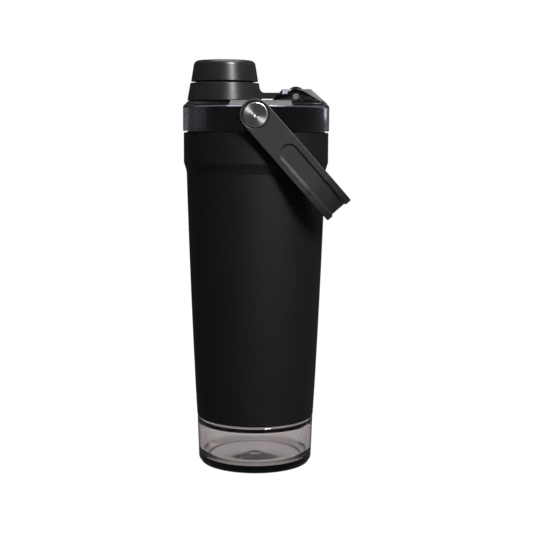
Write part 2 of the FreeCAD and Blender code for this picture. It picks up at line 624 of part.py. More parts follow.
def make_carry_handle():
    """U-shaped loop drawn flat: arms along +X, pivot axis along Y, with a channel round its outer face."""
    body = new_body("carry_handle")
    reach, span, corner = size("loop_reach"), size("loop_half_span"), size("loop_corner")
    depth, end = size("recess_depth"), size("arm_end_radius")
    back, inside_reach = -(end + 2), reach - size("crossbar_thickness")
    inside_span = span - size("loop_thickness")

    def u_band(name, outer, inner):
        sketch = new_sketch(body, f"{name}_outline", "XY_Plane")
        inner = [(x, y) + ((-radius,) if radius is not None else ()) for x, y, radius in reverse_run(inner)]
        outline(sketch, outer + inner)
        return sketch

    band = u_band("band", loop_outline(reach, span, corner, back),
                  loop_outline(inside_reach, inside_span, size("loop_inner_corner"), back))
    extrude(body, "band", band, 26, midplane=True)

    side = new_sketch(body, "side_outline", "XZ_Plane")
    margin = 3
    outline(side, [(back - margin, -20), (reach + margin, -20), (reach + margin, 20), (back - margin, 20)])
    outline(side, [(Size(0, "0"), -end, end), (reach + 1, -size("loop_half_width")),
                   (reach + 1, size("loop_half_width")), (Size(0, "0"), end), (-end, Size(0, "0"), end)])
    trimmed = extrude(body, "side_cut", side, span * 2 + 4, remove=True, midplane=True)

    inside = []
    for index, edge in enumerate(trimmed.Shape.Edges, start=1):
        ends = [vertex.Point for vertex in edge.Vertexes]
        if all(abs(point.x - inside_reach.value) < 0.01 and abs(point.z) > end.value for point in ends):
            inside.append(f"Edge{index}")
    chamfer = body.newObject("PartDesign::Chamfer", "inner_chamfer")
    chamfer.Base = (trimmed, inside)
    bind(chamfer, "Size", size("loop_inner_chamfer"))
    finish_feature(body, chamfer, remove=True)

    start = size("recess_start")
    channel = u_band("channel", loop_outline(reach + NUDGE, span + NUDGE, corner + NUDGE, start),
                     loop_outline(reach - depth, span - depth, corner - depth, start))
    extrude(body, "channel", channel, size("recess_half_width") * 2, remove=True, midplane=True)

    for sign, name in ((1, "back"), (-1, "front")):
        seat = new_sketch(body, f"{name}_seat_outline", "XZ_Plane", span * -sign)
        circle(seat, (Size(0, "0"), Size(0, "0")), size("counterbore_radius"))
        extrude(body, f"{name}_seat", seat, size("seat_depth"), remove=True, reversed_side=sign > 0)
        round_end = new_sketch(body, f"{name}_channel_end_outline", "XZ_Plane", span * -sign)
        circle(round_end, (start, Size(0, "0")), size("recess_half_width"))
        extrude(body, f"{name}_channel_end", round_end, depth, remove=True, reversed_side=sign > 0)
    pivot = new_sketch(body, "pivot_outline", "XZ_Plane")
    circle(pivot, (Size(0, "0"), Size(0, "0")), size("shoulder_pin_radius") + size("shoulder_fit"))
    extrude(body, "pivot", pivot, span * 2 + 4, remove=True, midplane=True)
    place(body, z=size("pivot_height"), turn_about_y=size("handle_drop"))
    return body


def reverse_run(run):
    """The same open run of corners walked backwards; each arc's radius moves to its other end."""
    corners = [corner + (None,) if len(corner) == 2 else corner for corner in run]
    walked = []
    for index in range(len(corners) - 1, -1, -1):
        radius = corners[index + 1][2] if index + 1 < len(corners) else None
        walked.append((corners[index][0], corners[index][1], radius))
    return walked


def make_turned_about_y(name, side, sections):
    """Cylinders on the handle's pivot: sections are (radius, near, far), distances out from the lid's axis."""
    pieces = []
    for index, (radius, near, far) in enumerate(sections):
        piece = doc.addObject("Part::Cylinder", f"{name}_{index}")
        piece.setExpression("Radius", radius.text)
        piece.setExpression("Height", (far - near).text)
        turn = FreeCAD.Rotation(FreeCAD.Vector(1, 0, 0), -90 * side)
        piece.Placement = FreeCAD.Placement(FreeCAD.Vector(0, side * near.value, 0), turn)
        piece.setExpression("Placement.Base.y", (near * side).text)
        pieces.append(piece)
    return pieces


def make_handle_screw(side, name):
    """Shoulder screw: turned head with a centre dimple, shoulder for the arm, and a shank into the brass."""
    face = size("loop_half_span") - size("seat_depth") + size("shoulder_fit")
    head = face + size("screw_head_height")
    sink = head - size("dimple_depth")
    parts = make_turned_about_y(name, side, [
        (size("screw_head_radius"), face, head), (size("shoulder_pin_radius"), size("boss_face"), face),
        (size("screw_shank_radius"), size("screw_end"), size("boss_face"))])
    stack = doc.addObject("Part::MultiFuse", f"{name}_stack")
    stack.Shapes = parts
    dimple = doc.addObject("Part::Cone", f"{name}_dimple")
    for prop, length in (("Radius1", size("dimple_tip_radius")), ("Radius2", size("dimple_radius")),
                         ("Height", size("dimple_depth") + NUDGE)):
        bind(dimple, prop, length)
    dimple.Placement = FreeCAD.Placement(FreeCAD.Vector(0, side * sink.value, 0),
                                         FreeCAD.Rotation(FreeCAD.Vector(1, 0, 0), -90 * side))
    dimple.setExpression("Placement.Base.y", (sink * side).text)
    screw = doc.addObject("Part::Cut", name)
    screw.Label = name
    screw.Base = stack
    screw.Tool = dimple
    place(screw, z=size("pivot_height"))
    return screw


def make_ring_about_y(side, name, radius, bore, near, far):
    """A plain ring on the handle's pivot."""
    solid, hole = make_turned_about_y(name, side, [(radius, near, far), (bore, near - 1, far + 1)])
    ring = doc.addObject("Part::Cut", name)
    ring.Label = name
    ring.Base = solid
    ring.Tool = hole
    place(ring, z=size("pivot_height"))
    return ring


nodes = [
    make_storage_cup(), make_storage_seal(), make_base_ring(), make_outer_shell(), make_inner_flask(),
    make_outer_bottom(), make_getter(), make_whisk_ball(), make_lid_gasket(), make_lid_shell(), make_lid_core(),
    make_spout(), make_hinge_pin(), make_cap_tether(), make_spout_cap(), make_cap_insert(), make_cap_seal(),
    make_carry_handle(),
]
for side, place_name in ((-1, "front"), (1, "back")):
    nodes.append(make_handle_screw(side, f"handle_screw_{place_name}"))
    nodes.append(make_ring_about_y(
        side, f"handle_washer_{place_name}", size("screw_head_radius"),
        size("shoulder_pin_radius") + size("shoulder_fit"), size("boss_face"),
        size("loop_half_span") - size("loop_thickness") - size("shoulder_fit")))
    nodes.append(make_ring_about_y(
        side, f"threaded_insert_{place_name}", size("brass_radius"), size("screw_shank_radius"),
        size("brass_inner_end"), size("brass_inner_end") + size("brass_length")))
doc.recompute()

for item in doc.Objects:
    if "Invalid" in item.State or "Error" in item.State:
        raise RuntimeError(f"{item.Label} did not compute: {item.State}")
os.makedirs("parts", exist_ok=True)
for node in nodes:
    if node.Shape.isNull() or not node.Shape.isValid() or len(node.Shape.Solids) != 1:
        raise RuntimeError(f"{node.Label} is not one valid solid")
    node.Shape.exportStep(f"parts/{node.Label}.step")
    box = node.Shape.BoundBox
    print(f"{node.Label:24} {node.Shape.Volume / 1000:8.2f} cm3  z {box.ZMin:7.2f} to {box.ZMax:7.2f}"
          f"  x {box.XMin:7.2f} to {box.XMax:7.2f}")
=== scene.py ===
"""Looks of the protein shaker bottle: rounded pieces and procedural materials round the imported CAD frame."""

import json
import math

import bmesh
import bpy
from mathutils import Matrix, Vector


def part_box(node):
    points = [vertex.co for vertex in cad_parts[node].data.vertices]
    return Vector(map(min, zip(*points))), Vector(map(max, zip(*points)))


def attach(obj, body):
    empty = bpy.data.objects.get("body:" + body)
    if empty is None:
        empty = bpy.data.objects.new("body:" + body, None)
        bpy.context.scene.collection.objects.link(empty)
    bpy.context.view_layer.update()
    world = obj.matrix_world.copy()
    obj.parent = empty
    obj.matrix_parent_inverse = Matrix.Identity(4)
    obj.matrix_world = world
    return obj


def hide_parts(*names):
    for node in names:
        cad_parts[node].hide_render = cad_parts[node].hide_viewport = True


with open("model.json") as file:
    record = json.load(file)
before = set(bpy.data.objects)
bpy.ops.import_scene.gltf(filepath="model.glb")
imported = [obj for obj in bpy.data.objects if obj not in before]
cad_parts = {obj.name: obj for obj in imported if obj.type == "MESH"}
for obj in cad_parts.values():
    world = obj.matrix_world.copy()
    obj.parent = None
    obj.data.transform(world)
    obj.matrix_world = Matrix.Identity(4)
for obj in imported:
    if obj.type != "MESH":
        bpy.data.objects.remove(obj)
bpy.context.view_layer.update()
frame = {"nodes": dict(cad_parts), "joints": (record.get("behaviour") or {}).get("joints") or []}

MM = 0.001            # this script's shapes are drawn in millimetres
ROUND = 224           # facets round the bottle
GUARD = 0.12          # straight runs get a point this close to each rounding, so that shading stays flat


# ---------------------------------------------------------------- sizes read from the frame
def limits(node):
    """Lowest and highest corner of a CAD node, in millimetres."""
    low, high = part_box(node)
    return low / MM, high / MM


shell_low, shell_high = limits("outer_shell")
cup_high = limits("storage_cup")[1]
lid_low, lid_high = limits("lid_shell")
cap_low, cap_high = limits("spout_cap")
tether_high = limits("cap_tether")[1]
screw_high = limits("handle_screw_back")[1]
joint = {entry["name"]: entry for entry in frame["joints"]}

SPOUT_X = joint["cap_turn"]["pos_m"][0] / MM
PIVOT_Z = joint["handle_swing"]["pos_m"][2] / MM
HINGE_X, _, HINGE_Z = (value / MM for value in joint["tether_swing"]["pos_m"])
FLASK_TOP = shell_high.z
SHOULDER_R = shell_high.x
LID_R = min(lid_high.x, -lid_low.x)
LID_BASE = lid_low.z
LID_TOP = LID_BASE + 17.8
LID_EDGE = LID_BASE + 14.8
LID_TOP_R = LID_R - 3.0


# ---------------------------------------------------------------- mesh tools
def rounded(corners, steps=7):
    """A closed outline from corners (x, y) or (x, y, radius); a radius becomes an arc with guard points."""
    points = []
    count = len(corners)
    for index, corner in enumerate(corners):
        here = Vector(corner[:2])
        radius = corner[2] if len(corner) > 2 else 0
        if radius <= 0:
            points.append(here)
            continue
        before = Vector(corners[index - 1][:2]) - here
        after = Vector(corners[(index + 1) % count][:2]) - here
        half = before.angle(after) / 2
        reach = min(radius / math.tan(half), 0.49 * before.length, 0.49 * after.length)
        radius = reach * math.tan(half)
        centre = here + (before.normalized() + after.normalized()).normalized() * radius / math.sin(half)
        start = here + before.normalized() * reach
        end = here + after.normalized() * reach
        spread = (start - centre).angle_signed(end - centre)
        if before.length - reach > 3 * GUARD:
            points.append(start + before.normalized() * GUARD)
        for step in range(steps + 1):
            turned = (start - centre).copy()
            turned.rotate(Matrix.Rotation(-spread * step / steps, 2))
            points.append(centre + turned)
        if after.length - reach > 3 * GUARD:
            points.append(end + after.normalized() * GUARD)
    return [(point.x, point.y) for point in points]


def bowed(start, end, radius, count=18):
    """Points strictly between two ends of a gentle arc that bulges to the right of its direction."""
    a, b = Vector(start), Vector(end)
    run = b - a
    side = Vector((run.y, -run.x)).normalized()
    sagitta = radius - math.sqrt(radius * radius - run.length_squared / 4)
    shares = [step / count for step in range(1, count)]
    return [tuple(a + run * share + side * sagitta * 4 * share * (1 - share)) for share in shares]


def object_from(bm, name):
    bmesh.ops.remove_doubles(bm, verts=bm.verts, dist=1e-5)
    bmesh.ops.recalc_face_normals(bm, faces=bm.faces)
    mesh = bpy.data.meshes.new(name)
    bm.to_mesh(mesh)
    bm.free()
    piece = bpy.data.objects.new(name, mesh)
    bpy.context.scene.collection.objects.link(piece)
    return piece


def lathe(name, outline, centre_x=0.0, facets=ROUND):
    """Turns a closed outline of (radius, height) about a vertical axis."""
    bm = bmesh.new()
    rings = []
    for radius, height in outline:
        if radius < 1e-6:
            rings.append([bm.verts.new((centre_x, 0, height))] * facets)
            continue
        rings.append([bm.verts.new((centre_x + radius * math.cos(math.tau * step / facets),
                                    radius * math.sin(math.tau * step / facets), height))
                      for step in range(facets)])
    for ring, other in zip(rings, rings[1:] + rings[:1]):
        if ring[0] is ring[1] and other[0] is other[1]:
            continue
        for step in range(facets):
            ahead = (step + 1) % facets
            corners = []
            for vertex in (ring[step], ring[ahead], other[ahead], other[step]):
                if vertex not in corners:
                    corners.append(vertex)
            bm.faces.new(corners)
    return object_from(bm, name)


def slab(name, outline, low, high, axis="Y"):
    """A closed outline of (x, z) given depth along Y, or of (x, y) given height along Z."""
    bm = bmesh.new()
    ends = []
    for depth in (low, high):
        place = (lambda x, y: (x, depth, y)) if axis == "Y" else (lambda x, y: (x, y, depth))
        ends.append([bm.verts.new(place(x, y)) for x, y in outline])
    for step in range(len(outline)):
        ahead = (step + 1) % len(outline)
        bm.faces.new((ends[0][step], ends[0][ahead], ends[1][ahead], ends[1][step]))
    bm.faces.new(ends[0])
    bm.faces.new(ends[1])
    return object_from(bm, name)


def disc_outline(x, y, radius, facets=72):
    return [(x + radius * math.cos(math.tau * step / facets), y + radius * math.sin(math.tau * step / facets))
            for step in range(facets)]


def baked(piece):
    """Replaces the mesh by the result of the piece's modifiers."""
    bpy.context.view_layer.update()
    graph = bpy.context.evaluated_depsgraph_get()
    mesh = bpy.data.meshes.new_from_object(piece.evaluated_get(graph), preserve_all_data_layers=True,
                                           depsgraph=graph)
    old = piece.data
    piece.modifiers.clear()
    piece.data = mesh
    bpy.data.meshes.remove(old)
    return piece


def combine(piece, tool, operation):
    modifier = piece.modifiers.new("combine", "BOOLEAN")
    modifier.operation = operation
    modifier.object = tool
    modifier.solver = "EXACT"
    baked(piece)
    bpy.data.objects.remove(tool)
    return piece


def softened(piece, width, angle=32, segments=3, clamp=True):
    """Rounds every sharp edge by the same small width, and keeps the broad faces' shading flat."""
    modifier = piece.modifiers.new("soften", "BEVEL")
    modifier.width = width
    modifier.segments = segments
    modifier.limit_method = "ANGLE"
    modifier.angle_limit = math.radians(angle)
    modifier.use_clamp_overlap = clamp
    piece.data.shade_smooth()
    baked(piece)
    piece.data.shade_smooth()
    weighting = piece.modifiers.new("weighting", "WEIGHTED_NORMAL")
    weighting.weight = 100
    weighting.keep_sharp = False
    return baked(piece)


def helix_rib(name, radius, low, lead, turns, height=1.2, width=2.4, centre_x=0.0, start_angle=0.0):
    """One thread rib: a trapezium carried round a helix, its ends closed."""
    bm = bmesh.new()
    steps = max(int(96 * turns), 12)
    rows = []
    for step in range(steps + 1):
        share = step / steps
        angle = start_angle + math.tau * turns * share
        fade = min(1.0, 6 * share, 6 * (1 - share))
        lift = low + lead * turns * share
        row = []
        for out, up in ((-0.4, 0), (height * fade, width / 4), (height * fade, width * 0.75), (-0.4, width)):
            reach = radius + out
            row.append(bm.verts.new((centre_x + reach * math.cos(angle), reach * math.sin(angle), lift + up)))
        rows.append(row)
    for row, other in zip(rows, rows[1:]):
        for side in range(4):
            ahead = (side + 1) % 4
            bm.faces.new((row[side], row[ahead], other[ahead], other[side]))
    bm.faces.new(rows[0])
    bm.faces.new(rows[-1])
    return object_from(bm, name)


def to_metres(piece):
    piece.data.transform(Matrix.Scale(MM, 4))
    return piece


def finish_piece(piece, body, slot, material, *replaced, angle=35):
    """Scales to metres, smooths, paints, and ties the piece to its CAD body."""
    to_metres(piece)
    if angle is not None:
        piece.data.shade_smooth()
        piece.data.set_sharp_from_angle(angle=math.radians(angle))
    piece.data.materials.clear()
    piece.data.materials.append(material)
    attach(piece, body)
    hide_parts(*replaced)
    return piece


# ---------------------------------------------------------------- material tools
class Nodes:
    """A short way to write a node material."""

    def __init__(self, name):
        self.material = bpy.data.materials.new(name)
        self.material.use_nodes = True
        self.tree = self.material.node_tree
        self.shader = self.tree.nodes["Principled BSDF"]
        self.coordinates = self.add("ShaderNodeTexCoord")

    def add(self, kind, **settings):
        node = self.tree.nodes.new(kind)
        for key, value in settings.items():
            if key.startswith("in_"):
                node.inputs[key[3:].replace("_", " ")].default_value = value
            else:
                setattr(node, key, value)
        return node

    def link(self, output, target):
        self.tree.links.new(output, target)

    def noise(self, scale, detail=2.0, roughness=0.5, stretch=None):
        texture = self.add("ShaderNodeTexNoise", in_Scale=scale, in_Detail=detail, in_Roughness=roughness)
        source = self.coordinates.outputs["Object"]
        if stretch is not None:
            mapping = self.add("ShaderNodeMapping")
            mapping.inputs["Scale"].default_value = stretch
            self.link(source, mapping.inputs["Vector"])
            source = mapping.outputs["Vector"]
        self.link(source, texture.inputs["Vector"])
        return texture.outputs["Fac"]

    def ramp(self, factor, *stops):
        ramp = self.add("ShaderNodeValToRGB")
        elements = ramp.color_ramp.elements
        while len(elements) < len(stops):
            elements.new(0.5)
        for element, (position, colour) in zip(elements, stops):
            element.position = position
            element.color = (*colour, 1.0)
        self.link(factor, ramp.inputs["Fac"])
        return ramp.outputs["Color"]

    def span(self, factor, low, high):
        """Maps 0..1 to low..high."""
        scale = self.add("ShaderNodeMapRange")
        scale.inputs["To Min"].default_value = low
        scale.inputs["To Max"].default_value = high
        self.link(factor, scale.inputs["Value"])
        return scale.outputs["Result"]

    def bump(self, height, strength, distance, before=None):
        bump = self.add("ShaderNodeBump", in_Strength=strength, in_Distance=distance)
        self.link(height, bump.inputs["Height"])
        if before is not None:
            self.link(before, bump.inputs["Normal"])
        return bump.outputs["Normal"]

    def set(self, **values):
        for key, value in values.items():
            self.shader.inputs[key.replace("_", " ")].default_value = value

    def colour(self, output):
        self.link(output, self.shader.inputs["Base Color"])

    def roughness(self, output):
        self.link(output, self.shader.inputs["Roughness"])

    def normal(self, output):
        self.link(output, self.shader.inputs["Normal"])


def powder_coat():
    """Matte black powder coat: a fine pebbled skin with tiny paler flecks."""
    nodes = Nodes("powder_coat")
    grain = nodes.noise(2600, 2.0, 0.6)
    pebble = nodes.noise(900, 1.0, 0.5)
    nodes.colour(nodes.ramp(grain, (0.35, (0.003, 0.003, 0.0032)), (0.62, (0.0065, 0.0065, 0.0068)),
                            (0.78, (0.028, 0.028, 0.028))))
    nodes.roughness(nodes.span(nodes.noise(45, 3.0), 0.5, 0.62))
    coarse = nodes.bump(pebble, 0.35, 0.00012)
    nodes.normal(nodes.bump(grain, 0.5, 0.0001, coarse))
    nodes.set(Specular_IOR_Level=0.35)
    return nodes.material


def moulded_black(name, dark, pale, rough_low, rough_high, grain_scale=1800, grain=0.18):
    """Satin moulded plastic with a faint spark-eroded texture and uneven gloss."""
    nodes = Nodes(name)
    nodes.colour(nodes.ramp(nodes.noise(160, 4.0, 0.6), (0.3, dark), (0.7, pale)))
    nodes.roughness(nodes.span(nodes.noise(70, 3.0), rough_low, rough_high))
    nodes.normal(nodes.bump(nodes.noise(grain_scale, 2.0, 0.6), grain, 0.00005))
    return nodes.material


def smoke_plastic(name, tint, rough, flow, depth_tint=None, density=0.0):
    """Smoke-tinted clear plastic with faint flow lines from the mould."""
    nodes = Nodes(name)
    thin = tuple(channel * 0.93 for channel in tint)
    nodes.colour(nodes.ramp(nodes.noise(30, 2.0, 0.5, (1, 1, 0.35)), (0.3, thin), (0.7, tint)))
    nodes.roughness(nodes.span(nodes.noise(120, 2.0), rough * 0.6, rough * 1.4))
    nodes.normal(nodes.bump(nodes.noise(55, 1.0, 0.4, (1, 1, 0.5)), flow, 0.0004))
    nodes.set(Transmission_Weight=1.0, IOR=1.49)
    if depth_tint:
        absorb = nodes.add("ShaderNodeVolumeAbsorption", in_Color=(*depth_tint, 1.0), in_Density=density)
        nodes.link(absorb.outputs["Volume"], nodes.tree.nodes["Material Output"].inputs["Volume"])
    return nodes.material


def steel(name, tone, rough_low, rough_high, stretch, scale=400, anisotropy=0.0, tangent_axis=None):
    """Stainless steel with the direction of its brushing or turning."""
    nodes = Nodes(name)
    lines = nodes.noise(scale, 3.0, 0.6, stretch)
    pale = tuple(min(channel * 1.12, 1.0) for channel in tone)
    nodes.colour(nodes.ramp(lines, (0.25, tone), (0.75, pale)))
    nodes.roughness(nodes.span(lines, rough_low, rough_high))
    nodes.normal(nodes.bump(lines, 0.08, 0.00003))
    nodes.set(Metallic=1.0)
    if tangent_axis:
        nodes.set(Anisotropic=anisotropy)
        tangent = nodes.add("ShaderNodeTangent", direction_type="RADIAL", axis=tangent_axis)
        nodes.link(tangent.outputs["Tangent"], nodes.shader.inputs["Tangent"])
    return nodes.material


def turned_steel():
    """Face-turned steel: fine rings about the screw's axis, which draw highlights into a bow tie."""
    nodes = Nodes("steel_turned")
    shift = nodes.add("ShaderNodeVectorMath", operation="SUBTRACT")
    shift.inputs[1].default_value = (0, 0, PIVOT_Z * MM)
    nodes.link(nodes.coordinates.outputs["Object"], shift.inputs[0])
    flat = nodes.add("ShaderNodeVectorMath", operation="MULTIPLY")
    flat.inputs[1].default_value = (1, 0, 1)
    nodes.link(shift.outputs["Vector"], flat.inputs[0])
    length = nodes.add("ShaderNodeVectorMath", operation="LENGTH")
    nodes.link(flat.outputs["Vector"], length.inputs[0])
    rings = nodes.add("ShaderNodeTexNoise", noise_dimensions="1D", in_Scale=5200.0, in_Detail=2.0)
    nodes.link(length.outputs["Value"], rings.inputs["W"])
    nodes.colour(nodes.ramp(rings.outputs["Fac"], (0.3, (0.66, 0.65, 0.64)), (0.7, (0.8, 0.79, 0.78))))
    nodes.roughness(nodes.span(rings.outputs["Fac"], 0.2, 0.34))
    nodes.normal(nodes.bump(rings.outputs["Fac"], 0.1, 0.00002))
    nodes.set(Metallic=1.0, Anisotropic=0.85)
    tangent = nodes.add("ShaderNodeTangent", direction_type="RADIAL", axis="Y")
    nodes.link(tangent.outputs["Tangent"], nodes.shader.inputs["Tangent"])
    return nodes.material


def silicone():
    nodes = Nodes("silicone_black")
    mottle = nodes.noise(240, 3.0)
    nodes.colour(nodes.ramp(mottle, (0.3, (0.012, 0.012, 0.013)), (0.7, (0.022, 0.022, 0.023))))
    nodes.roughness(nodes.span(nodes.noise(300, 2.0), 0.55, 0.7))
    nodes.normal(nodes.bump(nodes.noise(1500, 2.0), 0.1, 0.00004))
    nodes.set(Sheen_Weight=0.15)
    return nodes.material


def brass():
    nodes = Nodes("brass")
    lines = nodes.noise(300, 3.0, 0.6, (1, 12, 1))
    nodes.colour(nodes.ramp(lines, (0.3, (0.62, 0.44, 0.18)), (0.7, (0.78, 0.58, 0.27))))
    nodes.roughness(nodes.span(lines, 0.25, 0.4))
    nodes.set(Metallic=1.0)
    return nodes.material


POWDER = powder_coat()
CAP_PLASTIC = moulded_black("cap_plastic", (0.013, 0.013, 0.0135), (0.018, 0.018, 0.0185), 0.27, 0.33,
                            grain_scale=2200, grain=0.12)
HANDLE_PLASTIC = moulded_black("handle_plastic", (0.028, 0.0285, 0.03), (0.036, 0.0365, 0.038), 0.34, 0.42)
BLACK_PLASTIC = moulded_black("black_plastic", (0.006, 0.006, 0.007), (0.01, 0.01, 0.011), 0.32, 0.42)
CORE_PLASTIC = moulded_black("black_core", (0.002, 0.0024, 0.004), (0.003, 0.0035, 0.0055), 0.2, 0.3)
SMOKE_CUP = smoke_plastic("smoke_clear_cup", (0.97, 0.96, 0.96), 0.02, 0.1, (0.32, 0.26, 0.26), 220.0)
SMOKE_LID = smoke_plastic("smoke_clear_lid", (0.11, 0.105, 0.125), 0.03, 0.04)
LINER_STEEL = steel("steel_brushed", (0.5, 0.49, 0.48), 0.28, 0.42, (1, 1, 30))
WIRE_STEEL = steel("steel_polished", (0.62, 0.61, 0.6), 0.1, 0.2, (1, 1, 1), 900)
PIN_STEEL = steel("pin_steel", (0.66, 0.58, 0.56), 0.25, 0.35, (1, 10, 1))
TURNED_STEEL = turned_steel()
SILICONE = silicone()
BRASS = brass()


# ---------------------------------------------------------------- flask
def make_flask_shell():
    """Powder-coated wall: curled base, bowed side, soft shoulder step, rolled top edge."""
    base_r, waist_r, waist_z, skin = 35.8, 41.9, 177.9, 0.6
    side = bowed((base_r, shell_low.z), (waist_r, waist_z), 6000.0)
    inner_side = bowed((base_r - skin, shell_low.z), (waist_r - skin, waist_z), 6000.0)
    outline = rounded([
        (33.4, shell_low.z, 0.3), (base_r - 0.1, shell_low.z, 2.1), *side[1:], (waist_r, waist_z, 2.5),
        (waist_r + 0.5, waist_z + 2.2, 2.0), (SHOULDER_R, waist_z + 6.0, 3.5), (SHOULDER_R, FLASK_TOP, 0.5),
        (39.6, FLASK_TOP, 0.2), (39.6, FLASK_TOP - skin), (SHOULDER_R - skin, FLASK_TOP - skin, 0.4),
        (SHOULDER_R - skin, waist_z + 6.4), (waist_r + 0.5 - skin, waist_z + 2.5), (waist_r - skin, waist_z),
        *inner_side[:0:-1], (base_r - skin, shell_low.z + skin, 1.2), (33.4, shell_low.z + skin, 0.3)])
    return finish_piece(lathe("flask_shell", outline), "flask", "powder_coat", POWDER, "outer_shell")


def make_base_adapter():
    low, high = limits("base_ring")
    bore, ceiling = 33.1, high.z - 2.35
    outline = rounded([(bore, low.z, 0.4), (high.x, low.z, 0.4), (high.x, high.z, 0.3),
                       (0, high.z), (0, ceiling), (bore, ceiling, 0.5)])
    return finish_piece(lathe("base_adapter", outline), "flask", "black_plastic", BLACK_PLASTIC, "base_ring")


# ---------------------------------------------------------------- storage cup
def make_cup():
    """Thick clear cup: foot ring, domed floor with a gate mark, soft shoulder and a ribbed neck."""
    radius, shoulder, foot = cup_high.x, 28.2, 33.0
    inside, neck, bore, top = radius - 2.6, 31.6, 29.4, cup_high.z
    outline = rounded([
        (0, 1.35), (2.2, 1.3), (3.0, 1.05), (4.6, 1.2), (foot - 3.2, 0.9, 2.0),
        (foot - 2.0, 0, 0.4), (foot, 0, 0.9),
        (radius - 0.9, 2.6, 2.5), (radius, shoulder, 1.3), (neck, shoulder + 0.1, 0.5),
        (neck, top, 0.5), (bore, top, 0.5), (bore, shoulder - 0.2, 1.6), (inside, shoulder - 3.8, 2.2),
        (inside - 0.9, 7.5, 5.0), (inside - 4.6, 3.5, 3.0), (9.0, 4.6, 6.0),
        (4.6, 4.75), (3.4, 5.05), (1.6, 4.95),
        (0.7, 5.15), (0, 5.2)], steps=9)
    cup = lathe("clear_cup", outline, facets=256)
    for start in range(3):
        rib = helix_rib("rib", neck, shoulder + 4.5, 12.0, 0.3, start_angle=math.tau * start / 3)
        combine(cup, rib, "UNION")
    return finish_piece(cup, "storage_cup", "smoke_clear_cup", SMOKE_CUP, "storage_cup")


# ---------------------------------------------------------------- lid
def make_lid_cover():
    """Smoke cover: chamfered drum with hinge ears, a slot for the tether and flat bosses for the handle."""
    wall = 2.6
    cover = lathe("lid_cover", rounded([
        (LID_R, LID_BASE, 0.35), (LID_R, LID_EDGE, 0.45), (LID_TOP_R, LID_TOP, 0.5), (0, LID_TOP),
        (0, LID_TOP - 2.4), (LID_TOP_R - 1.3, LID_TOP - 2.4, 0.6), (LID_R - wall, LID_EDGE - 0.8, 0.6),
        (LID_R - wall, LID_BASE, 0.25)], steps=5))
    top = LID_TOP
    ears = slab("ears", [
        (HINGE_X - 15.6, top - 1.0), (HINGE_X - 8.0, lid_high.z), (HINGE_X + 8.8, lid_high.z),
        (HINGE_X + 18.6, top - 1.4), (HINGE_X + 17.0, top - 2.0), (HINGE_X + 14.0, top - 1.0)], -9.5, 9.5)
    combine(cover, ears, "UNION")
    tray = slab("tray", [(HINGE_X - 8.6, top - 4.4), (HINGE_X + 9.0, top - 4.4), (HINGE_X + 9.0, top - 1.0),
                         (HINGE_X - 8.6, top - 1.0)], -7.7, 7.7)
    combine(cover, tray, "UNION")
    well = 6.5
    slot = slab("slot", [
        (HINGE_X - 16.0, top + 0.001), (HINGE_X - well, top + 0.001), (HINGE_X - well, HINGE_Z - well + 0.3),
        (HINGE_X + well, HINGE_Z - well + 0.3), (HINGE_X + well, top - 0.6), (HINGE_X + 14.6, top - 0.6),
        (HINGE_X + well + 0.2, top + 6.2), (HINGE_X + well + 0.2, top + 9.9),
        (HINGE_X - 16.0, top + 9.9)], -6.5, 6.5)
    combine(cover, slot, "DIFFERENCE")
    combine(cover, slab("pin_bore", disc_outline(HINGE_X, HINGE_Z, 1.76), -11, 11), "DIFFERENCE")
    hole = lathe("spout_hole", [(0, top - 6), (13.05, top - 6), (13.05, top + 6), (0, top + 6)], SPOUT_X, 96)
    combine(cover, hole, "DIFFERENCE")
    for side in (-1, 1):
        boss = slab("boss", disc_outline(0, PIVOT_Z, 7.9, 96), side * 41.7, side * 44.1)
        combine(cover, boss, "UNION")
        bore = slab("bore", disc_outline(0, PIVOT_Z, 2.2, 48), side * 39, side * 46)
        combine(cover, bore, "DIFFERENCE")
    softened(cover, 0.22, 40, 2)
    return finish_piece(cover, "lid", "smoke_clear_lid", SMOKE_LID, "lid_shell", angle=None)


# ---------------------------------------------------------------- spout cap and its tether
def make_cap():
    base_r, top_r = 20.15, 18.15
    outline = rounded([
        (17.15, cap_low.z, 0.2), (base_r, cap_low.z, 0.35), (top_r, cap_high.z - 0.4, 3.2),
        (12.0, cap_high.z - 0.1, 8.0), (0, cap_high.z), (0, cap_high.z - 2.75),
        (17.15, cap_high.z - 2.75, 0.5)], 10)
    return finish_piece(lathe("spout_cap_shell", outline, SPOUT_X), "spout_cap", "cap_plastic", CAP_PLASTIC,
                        "spout_cap")


def make_tether():
    """Collar, arm and knuckle as one moulding."""
    low, top = 220.7, tether_high.z
    collar = lathe("tether", rounded([
        (18.0, low, 0.2), (22.45, low, 0.4), (20.6, top, 0.45), (17.5, top, 0.2), (17.5, top - 0.8, 0.1),
        (18.0, top - 0.8)]), SPOUT_X)
    half = 6.0
    arm_low, arm_high = HINGE_Z - 1.3, HINGE_Z + 2.1
    root = SPOUT_X + 21.4
    arm = slab("arm", [
        (SPOUT_X + 19.6, arm_low), (HINGE_X, arm_low), (HINGE_X, arm_high), (root + 2.2, arm_high),
        (root + 1.1, arm_high + 0.35), (root + 0.35, arm_high + 1.1), (root, arm_high + 2.2),
        (SPOUT_X + 19.6, arm_high + 2.2)], -half, half)
    combine(collar, arm, "UNION")
    knuckle = slab("knuckle", disc_outline(HINGE_X, HINGE_Z, 5.8, 96), -half, half)
    combine(collar, knuckle, "UNION")
    combine(collar, slab("bore", disc_outline(HINGE_X, HINGE_Z, 1.8), -half - 1, half + 1), "DIFFERENCE")
    softened(collar, 0.4, 35)
    return finish_piece(collar, "cap_tether", "cap_plastic", CAP_PLASTIC, "cap_tether", angle=None)


